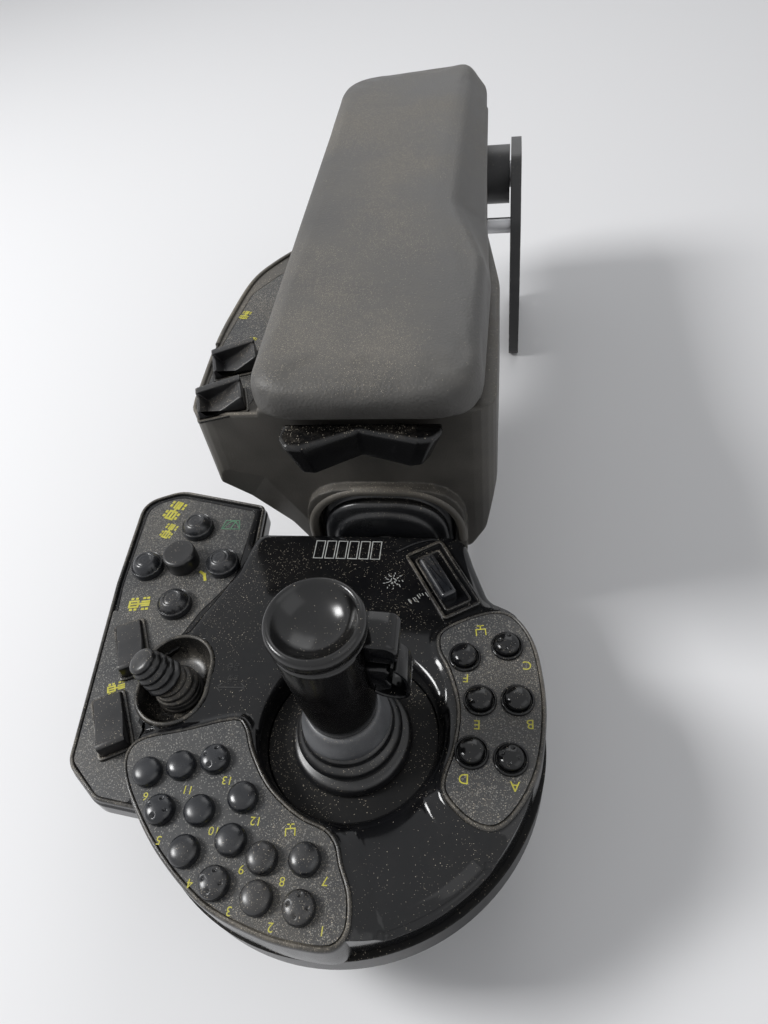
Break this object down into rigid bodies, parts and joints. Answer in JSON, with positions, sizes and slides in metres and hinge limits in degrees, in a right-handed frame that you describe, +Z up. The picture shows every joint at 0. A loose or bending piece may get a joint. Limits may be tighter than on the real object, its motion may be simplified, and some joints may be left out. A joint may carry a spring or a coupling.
{
  "type": "armrest control console",
  "caption": "Right-hand operator armrest with a padded rest, moulded housing and a round control pod carrying a joystick, keypads and rocker switches.",
  "frame": {"origin": "centre of the four-hole seat bolt pattern, on the bracket's outer face", "axes": "+X towards the seat and out of the bracket, -Y forward along the armrest, +Z up"},
  "size_m": [0.241, 0.6004, 0.2056],
  "materials": {
    "black_steel": "satin black powder coat",
    "bare_steel": "machined, lightly oiled",
    "housing_plastic": "fine grain, dusty",
    "pad_skin": "soft-touch foam skin, worn and dusty",
    "gloss_black": "gloss black",
    "rocker_plastic": "satin black",
    "textured_fascia": "speckled dark grey film",
    "key_rubber": "satin black rubber",
    "boot_rubber": "dusty black rubber",
    "grey_collar": "satin light grey"
  },
  "bodies": {
    "bracket": {"seat_bracket": "black_steel", "fold_pin": "bare_steel", "stop_pin": "bare_steel"},
    "arm": {"arm_frame": "black_steel", "housing": "housing_plastic", "neck_pin": "bare_steel", "pad_plate": "housing_plastic", "arm_pad": "pad_skin", "side_fascia": "textured_fascia", "side_rockers": "rocker_plastic", "cable_gland": "rocker_plastic"},
    "lever": {"release_lever": "gloss_black"},
    "pod": {"pod_upper": "gloss_black", "pod_lower": "gloss_black", "neck_tube": "black_steel", "neck_bellows": "boot_rubber", "left_wing": "gloss_black", "wing_fascia": "textured_fascia", "left_fascia": "textured_fascia", "right_fascia": "textured_fascia", "main_keys": "key_rubber", "right_keys": "key_rubber", "wing_buttons": "key_rubber", "wing_knob": "key_rubber", "wing_rockers": "rocker_plastic", "top_rocker": "rocker_plastic", "gimbal_base": "black_steel", "stick_boot": "boot_rubber", "mini_base": "boot_rubber"},
    "gimbal": {"gimbal_ring": "bare_steel"},
    "stick": {"stick_shaft": "bare_steel", "stick_collar": "grey_collar", "stick_grip": "gloss_black", "thumb_rocker": "rocker_plastic", "thumb_block": "rocker_plastic"},
    "mini_gimbal": {"mini_ring": "bare_steel"},
    "mini_stick": {"mini_stick": "bare_steel", "mini_knob": "key_rubber"}
  },
  "joints": [
    {"name": "arm_fold", "type": "hinge", "parent": "bracket", "child": "arm", "pos_m": [-0.075, 0.025, 0.09], "axis": [-1, 0, 0], "range_deg": [0, 75]},
    {"name": "lever_pull", "type": "slide", "parent": "arm", "child": "lever", "axis": [0, -1, 0], "range_m": [0, 0.008], "stiffness_N_per_m": 400},
    {"name": "pod_tilt", "type": "hinge", "parent": "arm", "child": "pod", "pos_m": [-0.076, -0.294, 0.041], "axis": [-1, 0, 0], "range_deg": [-8, 8], "deforming": ["neck_bellows"]},
    {"name": "stick_fore_aft", "type": "hinge", "parent": "pod", "child": "gimbal", "pos_m": [-0.08, -0.44, 0.028], "axis": [1, 0, 0], "range_deg": [-16, 16], "stiffness_Nm_per_rad": 1.5, "deforming": ["stick_boot"]},
    {"name": "stick_side", "type": "hinge", "parent": "gimbal", "child": "stick", "pos_m": [-0.08, -0.44, 0.028], "axis": [0, 1, 0], "range_deg": [-16, 16], "stiffness_Nm_per_rad": 1.5, "deforming": ["stick_boot"]},
    {"name": "mini_fore_aft", "type": "hinge", "parent": "pod", "child": "mini_gimbal", "pos_m": [-0.172, -0.422, 0.05], "axis": [1, 0, 0], "range_deg": [-10, 10], "stiffness_Nm_per_rad": 0.05},
    {"name": "mini_side", "type": "hinge", "parent": "mini_gimbal", "child": "mini_stick", "pos_m": [-0.172, -0.422, 0.05], "axis": [0, 1, 0], "range_deg": [-10, 10], "stiffness_Nm_per_rad": 0.05}
  ]
}
